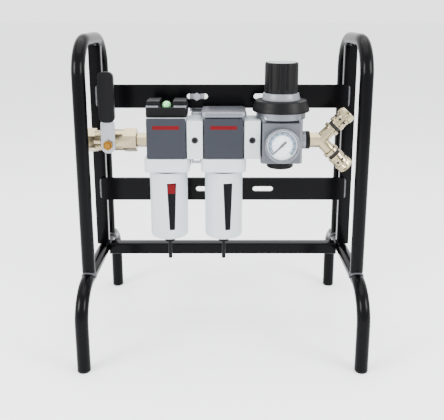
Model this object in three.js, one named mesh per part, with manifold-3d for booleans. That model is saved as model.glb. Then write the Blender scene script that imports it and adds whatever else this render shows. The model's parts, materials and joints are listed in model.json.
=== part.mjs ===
// An air preparation set on a free-standing tube stand: ball valve, two filters, regulator with
// gauge, and a Y outlet with two quick couplers. Millimetres, +Z up, front towards -Y, origin at
// the middle of the footprint on the floor.
import * as THREE from 'three';
import { mergeVertices } from 'three/addons/utils/BufferGeometryUtils.js';
import Module from 'manifold-3d';

// Driving dimensions of the stand
const GAP = 0.3;              // clearance kept between touching pieces
const SIDE_SPACING = 412;     // between the middles of the two side frames
const TUBE_R = 10;            // outer radius of the bent tube
const TUBE_BORE_R = 8;        // its inner radius
const BEND_R = 50;            // middle-line radius of every bend
const FOOT_Y = 145;           // feet in front of and behind the middle
const UPRIGHT_Y = 85;         // uprights in front of and behind the middle
const RUN_Z = 122;            // middle of the low side run
const TOP_Z = 480;            // middle of the top run
const CAP_HEIGHT = 6;         // plastic foot cap under each tube
const BAR_WIDTH = 20;         // flat side bar, across
const BAR_DEPTH = 12.7;       // flat side bar, front to back
const BAR_FRONT_Y = 26;       // front face of the side bars
const RAIL_HALF = 203;        // half length of a rail
const RAIL_HEIGHT = 38;
const RAIL_THICK = 5.4;
const RAIL_TOP_Z = 388;       // middle of the top rail
const RAIL_LOW_Z = 232;       // middle of the low rail
const SLOT_LENGTH = 34;
const SLOT_HEIGHT = 9;
const TOP_SLOTS_X = [-41, 67];
const LOW_SLOTS_X = [-28, 67];
const CROSS_SIZE = 19;        // square cross tube
const CROSS_FRONT_Y = 28;

// Driving dimensions of the air set
const LINE_Y = -30;           // the ports' middle line
const PORT_Z = 327;
const PORT_R = 9;             // passage through the modules
const FILTER_X = [-85, 1.5];
const REGULATOR_X = 89.5;
const REGULATOR_WIDTH = 63;
const GAUGE_X = 88;
const MODULE_WIDTH = 60;
const MODULE_DEPTH = 70;
const HEAD_LOW_Z = 304.5;
const HEAD_TOP_Z = 366;
const COLLAR_WIDTH = 69;
const COLLAR_LOW_Z = 283;
const BOWL_R = 29.5;
const BOWL_LOW_Z = 172;
const BOWL_WALL = 3;
const DRAIN_TIP_Z = 131;
const JOINER_WIDTH = 24;
const SCREW_R = 5.2;
const VALVE_X = -171;
const LEVER_Y = -66;
const OUTLET_X = 151;         // where the outlet forks
const COUPLER_ANGLE = Math.PI / 4;
const GAUGE_Z = 329;
const GAUGE_R = 26;
const KNOB_R = 25.6;

const wasm = await Module();
wasm.setup();
const group = new THREE.Group();

// ---- materials ----------------------------------------------------------------------------
const paint = (color, roughness, metalness) => ({ color, roughness, metalness });
const BLACK_PAINT = paint(0x111113, 0.25, 0.0);
const BLACK_PLASTIC = paint(0x1b1b1d, 0.5, 0.0);
const GREY_COVER = paint(0x5d6069, 0.5, 0.0);
const LIGHT_GREY = paint(0xcdd2d4, 0.45, 0.0);
const DIE_CAST = paint(0xb4b7bb, 0.4, 0.8);
const NICKEL = paint(0xd8d0bd, 0.25, 1.0);
const BRASS = paint(0xb68d4c, 0.3, 1.0);
const STEEL = paint(0xb9bbbe, 0.3, 1.0);
const GREEN = paint(0x7fc486, 0.3, 0.0);
const CLEAR = paint(0xe6eef0, 0.05, 0.0);
const DARK_CLEAR = paint(0x23232a, 0.1, 0.0);
const WHITE = paint(0xf2f4f5, 0.5, 0.0);
const RUBBER = paint(0x202022, 0.8, 0.0);
const FIBRE = paint(0xe9e4d6, 0.9, 0.0);

// ---- solids: closed geometry in place, cut and joined through manifold ---------------------
function toSolid(geometry) {
  const bare = geometry.index ? geometry.toNonIndexed() : geometry.clone();
  bare.deleteAttribute('normal');
  bare.deleteAttribute('uv');
  const merged = mergeVertices(bare, 1e-4);
  const mesh = new wasm.Mesh({
    numProp: 3,
    vertProperties: new Float32Array(merged.attributes.position.array),
    triVerts: new Uint32Array(merged.index.array),
  });
  return new wasm.Manifold(mesh);
}

function toGeometry(solid) {
  const mesh = solid.getMesh();
  const geometry = new THREE.BufferGeometry();
  geometry.setAttribute('position', new THREE.BufferAttribute(mesh.vertProperties, 3));
  geometry.setIndex(new THREE.BufferAttribute(mesh.triVerts, 1));
  return geometry;
}

function cut(body, ...tools) {
  return toGeometry(tools.reduce((solid, tool) => solid.subtract(toSolid(tool)), toSolid(body)));
}

function join(body, ...others) {
  return toGeometry(others.reduce((solid, other) => solid.add(toSolid(other)), toSolid(body)));
}

function add(name, geometry, finish, place = [0, 0, 0], turn = [0, 0, 0]) {
  const shaded = geometry.index ? geometry.toNonIndexed() : geometry;
  shaded.computeVertexNormals();
  const mesh = new THREE.Mesh(shaded, new THREE.MeshStandardMaterial(finish));
  mesh.name = name;
  mesh.position.set(...place);
  mesh.rotation.set(...turn);
  group.add(mesh);
  return mesh;
}

// A box from its low and high corners
function box(low, high) {
  const size = high.map((value, i) => value - low[i]);
  const middle = high.map((value, i) => (value + low[i]) / 2);
  return new THREE.BoxGeometry(...size).translate(...middle);
}

// A round bar along Z between two heights; low and high radii may differ
function barZ(x, y, z0, z1, r0, sides = 24, r1 = r0) {
  const bar = new THREE.CylinderGeometry(r1, r0, z1 - z0, sides);
  return bar.rotateX(Math.PI / 2).translate(x, y, (z0 + z1) / 2);
}

function barX(x0, x1, y, z, r, sides = 24) {
  const bar = new THREE.CylinderGeometry(r, r, x1 - x0, sides);
  return bar.rotateZ(-Math.PI / 2).translate((x0 + x1) / 2, y, z);
}

function barY(x, y0, y1, z, r, sides = 24) {
  return new THREE.CylinderGeometry(r, r, y1 - y0, sides).translate(x, (y0 + y1) / 2, z);
}

// A turned piece about Z: profile points are [radius, height]
function turned(points, sides = 24) {
  const profile = points.map(([r, z]) => new THREE.Vector2(r, z));
  return new THREE.LatheGeometry(profile, sides).rotateX(Math.PI / 2);
}

// The outline of a rectangle with round corners, centred on x, y
function roundedRect(x, y, width, height, radius) {
  const shape = new THREE.Shape();
  const [w, h] = [width / 2 - radius, height / 2 - radius];
  shape.absarc(x + w, y + h, radius, 0, Math.PI / 2);
  shape.absarc(x - w, y + h, radius, Math.PI / 2, Math.PI);
  shape.absarc(x - w, y - h, radius, Math.PI, Math.PI * 1.5);
  shape.absarc(x + w, y - h, radius, Math.PI * 1.5, Math.PI * 2);
  return shape;
}

// An upright block with round vertical corners between two heights
function block(x, y, z0, z1, width, depth, radius) {
  const shape = roundedRect(x, y, width, depth, radius);
  const options = { depth: z1 - z0, bevelEnabled: false, curveSegments: 3 };
  return new THREE.ExtrudeGeometry(shape, options).translate(0, 0, z0);
}

// A plate standing in the XZ plane with round corners: front face at y0, back face at y1
function plate(x, z, y0, y1, width, height, radius) {
  const shape = roundedRect(x, z, width, height, radius);
  const options = { depth: y1 - y0, bevelEnabled: false, curveSegments: 3 };
  return new THREE.ExtrudeGeometry(shape, options).rotateX(Math.PI / 2).translate(0, y1, 0);
}

// ---- the stand ----------------------------------------------------------------------------
// A path of straight runs and round bends in a plane of constant X, stepped only where it bends
class BentPath extends THREE.Curve {
  constructor(corners, radius, stepsPerBend) {
    super();
    this.places = [corners[0]];
    this.headings = [corners[1].clone().sub(corners[0]).normalize()];
    for (let i = 1; i < corners.length - 1; i += 1) {
      const into = corners[i].clone().sub(corners[i - 1]).normalize();
      const out = corners[i + 1].clone().sub(corners[i]).normalize();
      const start = corners[i].clone().addScaledVector(into, -radius);
      for (let k = 0; k <= stepsPerBend; k += 1) {
        const a = (k / stepsPerBend) * Math.PI / 2;
        const place = start.clone().addScaledVector(into, radius * Math.sin(a));
        this.places.push(place.addScaledVector(out, radius * (1 - Math.cos(a))));
        this.headings.push(into.clone().multiplyScalar(Math.cos(a)).addScaledVector(out, Math.sin(a)));
      }
    }
    this.places.push(corners.at(-1));
    this.headings.push(corners.at(-1).clone().sub(corners.at(-2)).normalize());
  }

  index(t) {
    return Math.round(t * (this.places.length - 1));
  }

  getPoint(t) {
    return this.places[this.index(t)].clone();
  }

  getPointAt(t) {
    return this.getPoint(t);
  }

  getTangentAt(t) {
    return this.headings[this.index(t)].clone();
  }
}

function bentTube(x, corners) {
  const path = new BentPath(corners.map(([y, z]) => new THREE.Vector3(x, y, z)), BEND_R, 5);
  const section = new THREE.Shape().absarc(0, 0, TUBE_R, 0, Math.PI * 2);
  section.holes.push(new THREE.Path().absarc(0, 0, TUBE_BORE_R, 0, Math.PI * 2));
  const steps = path.places.length - 1;
  return new THREE.ExtrudeGeometry(section, { extrudePath: path, steps, curveSegments: 6 });
}

function footCap(x, y) {
  const plug = TUBE_BORE_R - GAP;
  const rim = CAP_HEIGHT - 1.5;
  return turned([[0, 0], [TUBE_R - 2, 0], [TUBE_R, 2], [TUBE_R, rim], [plug, rim],
    [plug, 18], [0, 18]], 20).translate(x, y, 0);
}

function slottedRail(z, slotsX) {
  const back = BAR_FRONT_Y - GAP;
  const rail = plate(0, z, back - RAIL_THICK, back, RAIL_HALF * 2, RAIL_HEIGHT, 0.8);
  const slots = slotsX.map((x) => plate(x, z, 0, 50, SLOT_LENGTH, SLOT_HEIGHT, SLOT_HEIGHT / 2 - 0.01));
  return cut(rail, ...slots);
}

function makeStand() {
  const runTop = RUN_Z + TUBE_R + GAP;
  for (const [side, sign] of [['left', -1], ['right', 1]]) {
    const x = sign * SIDE_SPACING / 2;
    add(`upper_frame_${side}`, bentTube(x, [[-UPRIGHT_Y, runTop], [-UPRIGHT_Y, TOP_Z],
      [UPRIGHT_Y, TOP_Z], [UPRIGHT_Y, runTop]]), BLACK_PAINT);
    add(`leg_frame_${side}`, bentTube(x, [[-FOOT_Y, CAP_HEIGHT - 1.5 + GAP], [-FOOT_Y, RUN_Z],
      [FOOT_Y, RUN_Z], [FOOT_Y, CAP_HEIGHT - 1.5 + GAP]]), BLACK_PAINT);
    for (const [end, y] of [['front', -FOOT_Y], ['rear', FOOT_Y]]) {
      add(`foot_cap_${end}_${side}`, footCap(x, y), BLACK_PLASTIC);
    }
    const barTop = TOP_Z - TUBE_R - 3 * GAP;
    add(`side_bar_${side}`, box([x - BAR_WIDTH / 2, BAR_FRONT_Y, runTop],
      [x + BAR_WIDTH / 2, BAR_FRONT_Y + BAR_DEPTH, barTop]), BLACK_PAINT);
  }
  add('top_rail', slottedRail(RAIL_TOP_Z, TOP_SLOTS_X), BLACK_PAINT);
  add('low_rail', slottedRail(RAIL_LOW_Z, LOW_SLOTS_X), BLACK_PAINT);
  const half = SIDE_SPACING / 2 - TUBE_R - GAP;
  const tube = box([-half, CROSS_FRONT_Y, RUN_Z - CROSS_SIZE / 2],
    [half, CROSS_FRONT_Y + CROSS_SIZE, RUN_Z + CROSS_SIZE / 2]);
  const wall = 1.5;
  const inside = box([-half - 1, CROSS_FRONT_Y + wall, RUN_Z - CROSS_SIZE / 2 + wall],
    [half + 1, CROSS_FRONT_Y + CROSS_SIZE - wall, RUN_Z + CROSS_SIZE / 2 - wall]);
  add('cross_tube', cut(tube, inside), BLACK_PAINT);
}

// ---- filters ------------------------------------------------------------------------------
// Cast head: a square head with a wider collar round the bowl's neck; flow enters at the left,
// drops to the bowl, passes the element and leaves at the right through the middle
function filterHead(x) {
  const headBack = LINE_Y + MODULE_DEPTH / 2;
  const headFront = LINE_Y - MODULE_DEPTH / 2 + 7;
  const depth = headBack - headFront;
  const middleY = (headBack + headFront) / 2;
  const head = block(x, middleY, HEAD_LOW_Z - 1, HEAD_TOP_Z, MODULE_WIDTH, depth, 4);
  const collar = block(x, LINE_Y, COLLAR_LOW_Z, HEAD_LOW_Z, COLLAR_WIDTH, COLLAR_WIDTH, 10);
  const neck = barZ(x, LINE_Y, COLLAR_LOW_Z - 1, 301, BOWL_R + 0.5, 32);
  const well = barZ(x, LINE_Y, 300, 314, 25, 32);
  const inlet = barX(x - 31, x - 14, LINE_Y, PORT_Z, PORT_R, 16);
  const drop = barZ(x - 19, LINE_Y, 312, PORT_Z, 5, 12);
  const outlet = barX(x - 1, x + 31, LINE_Y, PORT_Z, PORT_R, 16);
  const rise = barZ(x, LINE_Y, 312, PORT_Z, 7, 16);
  return cut(join(head, collar), neck, well, inlet, drop, outlet, rise);
}

// Dark cover: a dished plate over the front of the head with a short wrap round both sides
function frontCover(x, z0, z1, width) {
  const front = LINE_Y - MODULE_DEPTH / 2;
  const shell = block(x, front + 10, z0, z1, width, 20, 4);
  const hollow = box([x - width, front + 7 - GAP, z0 - 1], [x + width, front + 40, z1 + 1]);
  return cut(shell, hollow);
}

// The window is wide at its top and narrow at its foot, right of the middle
function windowWedge(x, grow, y0, y1) {
  const middle = x + 6.5;
  const shape = new THREE.Shape([
    new THREE.Vector2(middle - 3.8 - grow, 189 - grow),
    new THREE.Vector2(middle + 3.8 + grow, 189 - grow),
    new THREE.Vector2(middle + 6.7 + grow, 264 + grow),
    new THREE.Vector2(middle - 6.7 - grow, 264 + grow),
  ]);
  const wedge = new THREE.ExtrudeGeometry(shape, { depth: y1 - y0, bevelEnabled: false });
  return wedge.rotateX(Math.PI / 2).translate(0, y1, 0);
}

function bowl(x) {
  const inner = BOWL_R - BOWL_WALL;
  const drainHole = 5;
  const shell = turned([[drainHole, BOWL_LOW_Z], [BOWL_R - 5, BOWL_LOW_Z], [BOWL_R - 1.4, BOWL_LOW_Z + 1.5],
    [BOWL_R, BOWL_LOW_Z + 5], [BOWL_R, 299], [inner, 299], [inner, BOWL_LOW_Z + 6],
    [inner - 4, BOWL_LOW_Z + 3], [drainHole, BOWL_LOW_Z + 3], [drainHole, BOWL_LOW_Z]], 32);
  return cut(shell.translate(x, LINE_Y, 0), windowWedge(x, GAP, -80, -45));
}

function sightWindow(x) {
  const curve = barZ(x, LINE_Y, BOWL_LOW_Z, 290, BOWL_R - 0.6, 32);
  const hollow = barZ(x, LINE_Y, BOWL_LOW_Z - 1, 291, BOWL_R - BOWL_WALL, 32);
  return toGeometry(toSolid(windowWedge(x, 0, -80, -45))
    .intersect(toSolid(curve)).subtract(toSolid(hollow)));
}

function element(x) {
  return turned([[9, 206], [15, 206], [15, 311], [9, 311], [9, 206]], 16).translate(x, LINE_Y, 0);
}

// The drain turns in the bowl's foot: flange inside, knurled body below, thin outlet stem
function drain(x) {
  const [shaft, stem] = [5 - GAP, 2.4];
  const inside = BOWL_LOW_Z + 3 + GAP;
  const under = BOWL_LOW_Z - GAP;
  return turned([[0, DRAIN_TIP_Z], [stem, DRAIN_TIP_Z], [stem, under - 12], [8, under - 12], [8, under],
    [shaft, under], [shaft, inside], [9, inside], [9, inside + 3], [0, inside + 3]], 20)
    .translate(x, LINE_Y, 0);
}

function makeFilters() {
  FILTER_X.forEach((x, i) => {
    const n = i + 1;
    add(`filter_head_${n}`, filterHead(x), LIGHT_GREY);
    add(`filter_cover_${n}`, frontCover(x, HEAD_LOW_Z + GAP, HEAD_TOP_Z, MODULE_WIDTH - 1), GREY_COVER);
    add(`bowl_${n}`, bowl(x), LIGHT_GREY);
    add(`sight_window_${n}`, sightWindow(x), DARK_CLEAR);
    add(`filter_element_${n}`, element(x), FIBRE);
    add(`drain_${n}`, drain(x), BLACK_PLASTIC);
  });
  // Pressure drop indicator on the first filter: a black block with a green dome that lifts
  const [x1, x2] = FILTER_X;
  const low = HEAD_TOP_Z + GAP;
  const shoulders = block(x1, LINE_Y, low, low + 15, 62, 50, 5);
  const top = block(x1, LINE_Y, low + 14, low + 24, 60, 40, 4);
  const notch = box([x1 - 10, LINE_Y - 40, low + 15], [x1 + 10, LINE_Y + 40, low + 30]);
  const well = barZ(x1, LINE_Y - 10, low + 4, low + 20, 7.5, 24);
  add('indicator_body', cut(join(shoulders, top), notch, well), BLACK_PLASTIC);
  const dome = 7.2;
  const domeLow = low + 4.5;
  add('indicator_dome', turned([[0, domeLow], [dome, domeLow], [dome, low + 16], [dome * 0.87, low + 19.6],
    [dome * 0.5, low + 22.2], [0, low + 23.2]], 20).translate(x1, LINE_Y - 10, 0), GREEN);
  add('top_cap', block(x2, LINE_Y, low, low + 9, COLLAR_WIDTH, MODULE_DEPTH - 4, 8), DIE_CAST);
}

// ---- joiners and the bracket that carries the set -----------------------------------------
function makeJoiners() {
  const front = LINE_Y - MODULE_DEPTH / 2 + 1.5;
  const sides = [FILTER_X[1] + MODULE_WIDTH / 2, REGULATOR_X - REGULATOR_WIDTH / 2];
  const joints = [(FILTER_X[0] + FILTER_X[1]) / 2, (sides[0] + sides[1]) / 2];
  joints.forEach((x, i) => {
    const body = block(x, (front + LINE_Y + 20) / 2, HEAD_LOW_Z, HEAD_TOP_Z - 3.6,
      JOINER_WIDTH, LINE_Y + 20 - front, 1.5);
    const passage = barX(x - 20, x + 20, LINE_Y, PORT_Z, PORT_R, 16);
    const screwHole = barY(x, front - 1, front + 9, PORT_Z + 6, SCREW_R, 20);
    add(`joiner_${i + 1}`, cut(body, passage, screwHole), LIGHT_GREY);
  });
  // Cranked bracket: a wall behind the first joiner, a shelf back under the top rail, a plate
  // up behind the rail, and a drilled tongue below
  const x = joints[0];
  const wallY = LINE_Y + 20 + GAP;
  const sheet = 4;
  const plateY = BAR_FRONT_Y;
  const shelfTop = RAIL_TOP_Z - RAIL_HEIGHT / 2 - 2;
  const wall = box([x - 8, wallY, COLLAR_LOW_Z + 1], [x + 8, wallY + sheet, shelfTop]);
  const shelf = box([x - 8, wallY, shelfTop - sheet], [x + 8, plateY + sheet, shelfTop]);
  const upright = box([x - 12, plateY, shelfTop - sheet], [x + 12, plateY + sheet, RAIL_TOP_Z + 12]);
  const boltHole = barY(x, 0, 50, RAIL_TOP_Z, 4.3, 16);
  const tongueHole = box([x - 5, wallY - 5, 288], [x + 5, wallY + 9, 297]);
  add('support_bracket', cut(join(wall, shelf, upright), boltHole, tongueHole), STEEL);
  const railFront = BAR_FRONT_Y - GAP - RAIL_THICK;
  const bolt = join(barY(x, railFront - 4, plateY + sheet + 8, RAIL_TOP_Z, 3.8, 16),
    barY(x, railFront - 5, railFront - GAP, RAIL_TOP_Z, 6.5, 6));
  add('bracket_bolt', bolt, STEEL);
}

// ---- regulator ----------------------------------------------------------------------------
const BODY_LOW_Z = 296;
const BODY_TOP_Z = 363;
const RING_TOP_Z = 373;       // top of the body's round flange, under the bonnet
const BONNET_TOP_Z = 390;
const KNOB_LOW_Z = 401.5;
const KNOB_TOP_Z = 447;
const STEM_R = 5;             // adjusting screw
const SEAT_Z = 377;           // spring seat's low face with no pressure set

function regulatorBody(x) {
  const width = REGULATOR_WIDTH;
  const low = block(x, LINE_Y + 3, BODY_LOW_Z, BODY_TOP_Z + 1, width, 62, 4);
  const flange = barZ(x, LINE_Y, BODY_TOP_Z, RING_TOP_Z, 38, 32);
  const boss = barX(x + width / 2 - 1, x + width / 2 + 7, LINE_Y, PORT_Z, 14, 20);
  const spring = barZ(x, LINE_Y, 342, RING_TOP_Z + 1, 24, 32);
  const valve = barZ(x, LINE_Y, BODY_LOW_Z - 1, 316, 16, 24);
  const throat = barZ(x, LINE_Y, 315, 343, 6, 16);
  const inlet = barX(x - 40, x - 12, LINE_Y, PORT_Z, PORT_R, 16);
  const feed = barZ(x - 12, LINE_Y, 310, PORT_Z, 3, 12);
  const outlet = barX(x - 1, x + 50, LINE_Y, PORT_Z, PORT_R, 16);
  const gaugePort = barY(GAUGE_X, LINE_Y - 40, LINE_Y, GAUGE_Z, 6, 16);
  return cut(join(low, flange, boss), spring, valve, throat, inlet, feed, outlet, gaugePort);
}

function rangeSpring(x) {
  const turns = 3.5;
  const stepsPerTurn = 9;
  const [coilR, wireR, low, high] = [13, 1.8, 350, SEAT_Z - 4.3];
  class Helix extends THREE.Curve {
    getPoint(t) {
      const a = t * turns * Math.PI * 2;
      return new THREE.Vector3(coilR * Math.cos(a), coilR * Math.sin(a), low + (high - low) * t);
    }
  }
  const wire = new THREE.Shape().absarc(0, 0, wireR, 0, Math.PI * 2);
  const options = { extrudePath: new Helix(), steps: Math.round(turns * stepsPerTurn), curveSegments: 3 };
  return new THREE.ExtrudeGeometry(wire, options).translate(x, LINE_Y, 0);
}

// Fluted cup: ribs cut round a turned cup that is open below
function knob(x) {
  const cup = turned([[0, KNOB_TOP_Z - 4], [KNOB_R - 3, KNOB_TOP_Z - 4], [KNOB_R - 3, KNOB_LOW_Z],
    [KNOB_R, KNOB_LOW_Z], [KNOB_R - 0.5, KNOB_TOP_Z - 1.5], [KNOB_R - 2, KNOB_TOP_Z], [0, KNOB_TOP_Z]], 36);
  const flutes = [];
  for (let k = 0; k < 12; k += 1) {
    const a = (k + 0.5) * Math.PI / 6;
    flutes.push(barZ(KNOB_R * 1.04 * Math.cos(a), KNOB_R * 1.04 * Math.sin(a), 405, KNOB_TOP_Z + 5, 1.6, 5));
  }
  const socket = barZ(0, 0, KNOB_TOP_Z - 20, KNOB_TOP_Z - 3, STEM_R + 3, 16);
  const bore = barZ(0, 0, KNOB_TOP_Z - 21, KNOB_TOP_Z - 3.9, STEM_R + GAP, 16);
  return cut(join(cut(cup, ...flutes), socket), bore).translate(x, LINE_Y, 0);
}

function makeRegulator() {
  const x = REGULATOR_X;
  const place = (points, sides) => turned(points, sides).translate(x, LINE_Y, 0);
  add('regulator_body', regulatorBody(x), DIE_CAST);
  const cover = frontCover(x - 1, BODY_LOW_Z + 1, BODY_TOP_Z - 4, 58);
  const gaugeHole = barY(GAUGE_X, LINE_Y - 60, LINE_Y, GAUGE_Z, 8, 24);
  add('regulator_cover', cut(cover, gaugeHole), GREY_COVER);
  const low = RING_TOP_Z + GAP;
  add('bonnet', place([[25, low], [44, low], [41, low + 9], [39, BONNET_TOP_Z], [STEM_R + GAP, BONNET_TOP_Z],
    [STEM_R + GAP, BONNET_TOP_Z - 6], [22, BONNET_TOP_Z - 6], [25, low]], 28), BLACK_PLASTIC);
  add('lock_ring', place([[12, BONNET_TOP_Z + GAP], [29.5, BONNET_TOP_Z + GAP], [29.5, BONNET_TOP_Z + 2],
    [26.5, BONNET_TOP_Z + 11], [12, BONNET_TOP_Z + 11], [12, BONNET_TOP_Z + GAP]], 28), DIE_CAST);
  add('knob', knob(x), BLACK_PLASTIC);
  // The screw turns with the knob, and the seat travels on it like a nut
  const thread = STEM_R - 0.2;
  const screwTop = KNOB_TOP_Z - 9;
  add('adjusting_screw', place([[0, 353], [thread, 353], [thread, screwTop], [0, screwTop]], 16), STEEL);
  const nut = STEM_R + GAP;
  add('spring_seat', place([[nut, SEAT_Z - 2], [17, SEAT_Z - 2], [17, SEAT_Z + 1], [nut, SEAT_Z + 1],
    [nut, SEAT_Z - 2]], 24), STEEL);
  add('range_spring', rangeSpring(x), STEEL);
  add('diaphragm', place([[0, 343], [23.5, 343], [23.5, 345], [17, 345], [17, 347.5], [0, 347.5]], 32),
    RUBBER);
  add('poppet', place([[0, 306], [9, 306], [9, 313.5], [3, 313.5], [3, 342.4], [0, 342.4]], 20), BRASS);
  add('bottom_plug', place([[0, 284], [19, 284], [21, 286], [21, BODY_LOW_Z - GAP], [15.6, BODY_LOW_Z - GAP],
    [15.6, 304], [0, 304]], 24), BLACK_PLASTIC);
}

// ---- gauge --------------------------------------------------------------------------------
function makeGauge() {
  const x = GAUGE_X;
  const face = LINE_Y - 58;         // front of the bezel
  // Turned about Y: the profile is [radius, distance behind the bezel's front]
  const turn = (points, sides) => turned(points, sides).rotateX(-Math.PI / 2)
    .translate(x, face, GAUGE_Z);
  add('gauge_case', turn([[0, 10], [GAUGE_R - 3, 10], [GAUGE_R - 3, 0], [GAUGE_R - 1, 0], [GAUGE_R, 1.5],
    [GAUGE_R, 18], [7, 19], [7, 23], [5.5, 24], [5.5, 40], [0, 40]], 28), DIE_CAST);
  add('gauge_dial', turn([[0, 8], [GAUGE_R - 3.6, 8], [GAUGE_R - 3.6, 9.6], [0, 9.6]], 28), WHITE);
  const length = 17;
  const blade = new THREE.Shape([
    new THREE.Vector2(-0.9, -7), new THREE.Vector2(0.9, -7),
    new THREE.Vector2(0.35, length), new THREE.Vector2(-0.35, length),
  ]);
  const needle = new THREE.ExtrudeGeometry(blade, { depth: 0.6, bevelEnabled: false });
  needle.rotateX(Math.PI / 2);
  const hub = barY(0, -1, 0.6, 0, 2, 16);
  const zeroTurn = -Math.PI * 0.75;
  add('gauge_needle', join(needle, hub).rotateY(zeroTurn).translate(x, face + 6.8, GAUGE_Z), BLACK_PLASTIC);
  add('gauge_lens', turn([[0, 2.5], [GAUGE_R - 3.3, 2.5], [GAUGE_R - 3.3, 4.5], [0, 4.5]], 28), CLEAR);
}

// ---- outlet: nipple, fork and two quick couplers --------------------------------------------
// A turned piece whose axis leans in the XZ plane: 0 is up, a quarter turn is +X
function turnedAlong(points, angle, x, sides) {
  return turned(points, sides).rotateY(angle).translate(x, LINE_Y, PORT_Z);
}

const ARM_END = 21.5;         // from the fork's middle to the couplers

function makeOutlet() {
  const alongX = Math.PI / 2;
  const start = REGULATOR_X + 24;
  add('outlet_nipple', turnedAlong([[5, 0], [8.6, 0], [8.6, 15], [14, 15], [14, 21], [7.6, 21], [7.6, 29],
    [5, 29], [5, 0]], alongX, start, 20), BLACK_PLASTIC);
  const arms = [alongX - COUPLER_ANGLE, alongX + COUPLER_ANGLE];
  const rod = (angle, r, low, high) => turnedAlong([[0, low], [r, low], [r, high], [0, high]], angle,
    OUTLET_X, 20);
  const fork = join(barX(start + 21 + GAP, OUTLET_X, LINE_Y, PORT_Z, 12, 6),
    ...arms.map((angle) => rod(angle, 9.5, -6, ARM_END)));
  const bores = [barX(start + 20, start + 31, LINE_Y, PORT_Z, 8, 20),
    barX(start + 29, OUTLET_X + 3, LINE_Y, PORT_Z, 5, 16), ...arms.map((angle) => rod(angle, 5, -1, 30))];
  add('y_fitting', cut(fork, ...bores), NICKEL);
  arms.forEach((angle, i) => {
    const side = ['upper', 'lower'][i];
    const base = ARM_END + GAP;
    add(`coupler_body_${side}`, turnedAlong([[4, base], [12.5, base], [12.5, base + 6], [9.3, base + 6.5],
      [9.3, 60], [6.2, 60], [6.2, 36], [4, 34], [4, base]], angle, OUTLET_X, 24), NICKEL);
    add(`coupler_sleeve_${side}`, turnedAlong([[9.7, 33], [13.2, 33], [13.2, 57], [12.4, 61.5], [9.7, 61.5],
      [9.7, 33]], angle, OUTLET_X, 24), NICKEL);
  });
}

// ---- ball valve ---------------------------------------------------------------------------
function makeValve() {
  const x = VALVE_X;
  const ballR = 13;
  const body = join(barX(x - 26, x + 22, LINE_Y, PORT_Z, 16.5, 24),
    barX(x - 43, x - 24, LINE_Y, PORT_Z, 18.5, 6), barX(x + 18, x + 38, LINE_Y, PORT_Z, 18.5, 6),
    barY(x, LINE_Y - 30, LINE_Y - 10, PORT_Z, 9, 20));
  const bores = [barX(x - 50, x + 50, LINE_Y, PORT_Z, 8, 20),
    barX(x - 15, x + 15, LINE_Y, PORT_Z, ballR + GAP * 2, 24), barX(x - 44, x - 27, LINE_Y, PORT_Z, 10.5, 20),
    barX(x + 22, x + 39, LINE_Y, PORT_Z, 9.5, 20), barY(x, LINE_Y - 31, LINE_Y - 5, PORT_Z, 4.8, 20)];
  add('valve_body', cut(body, ...bores), NICKEL);
  const ball = new THREE.SphereGeometry(ballR, 18, 10).translate(x, LINE_Y, PORT_Z);
  const slot = box([x - 5, LINE_Y - ballR - 1, PORT_Z - 2.3], [x + 5, LINE_Y - ballR + 4, PORT_Z + 2.3]);
  add('valve_ball', cut(ball, barZ(x, LINE_Y, PORT_Z - 20, PORT_Z + 20, 8, 20), slot), NICKEL);
  const stemEnd = LEVER_Y - 8;
  const stem = join(barY(x, stemEnd, LINE_Y - ballR - 0.5, PORT_Z, 4.5, 20),
    box([x - 4, LINE_Y - ballR - 1.5, PORT_Z - 2], [x + 4, LINE_Y - ballR + 3.4, PORT_Z + 2]));
  add('valve_stem', stem, BRASS);
  const plateFront = LEVER_Y - 1.5;
  const plateBack = LEVER_Y + 1.5;
  const gripLow = PORT_Z + 31;
  const gripTop = PORT_Z + 109;
  const armHalf = 7;
  const shoulder = PORT_Z + 41;
  const lever = join(box([x - armHalf, plateFront, PORT_Z + 20], [x + armHalf, plateBack, gripTop - 8]),
    plate(x, (PORT_Z - 13 + shoulder) / 2, plateFront, plateBack, 21, shoulder - PORT_Z + 13, 10));
  add('lever', cut(lever, barY(x, LEVER_Y - 10, LEVER_Y + 10, PORT_Z, 4.9, 20)), STEEL);
  const gripMiddle = (gripLow + gripTop) / 2 + 1.5;
  const grip = plate(x, gripMiddle, LEVER_Y - 5, LEVER_Y + 5, 22.5, gripTop - gripLow - 3, 8);
  const socket = box([x - armHalf - GAP, plateFront - GAP, PORT_Z], [x + armHalf + GAP, plateBack + GAP,
    gripTop - 8 + GAP]);
  const mouth = box([x - 12, plateFront - GAP, PORT_Z], [x + 12, plateBack + GAP, shoulder + GAP]);
  add('lever_grip', cut(grip, socket, mouth), BLACK_PLASTIC);
  const nut = barY(x, stemEnd + 1, plateFront - GAP, PORT_Z, 7.5, 6);
  add('lever_nut', cut(nut, barY(x, stemEnd - 1, LEVER_Y, PORT_Z, 4.8, 20)), BRASS);
  const neckEnd = FILTER_X[0] - MODULE_WIDTH / 2 - GAP;
  add('inlet_nipple', join(cut(barX(x + 24, neckEnd + 12, LINE_Y, PORT_Z, 8.6, 20),
    barX(x, 0, LINE_Y, PORT_Z, 6, 16)), cut(barX(x + 38 + GAP, neckEnd, LINE_Y, PORT_Z, 11.5, 6),
    barX(x, 0, LINE_Y, PORT_Z, 7, 16))), NICKEL);
}

makeStand();
makeFilters();
makeJoiners();
makeRegulator();
makeGauge();
makeOutlet();
makeValve();

export default group;
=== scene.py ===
# %% [markdown]
# An air preparation set on a free-standing tube stand. The CAD gives every part its place, so each
# cell below asks the frame for a node's box and builds the visible surface inside it.

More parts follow.
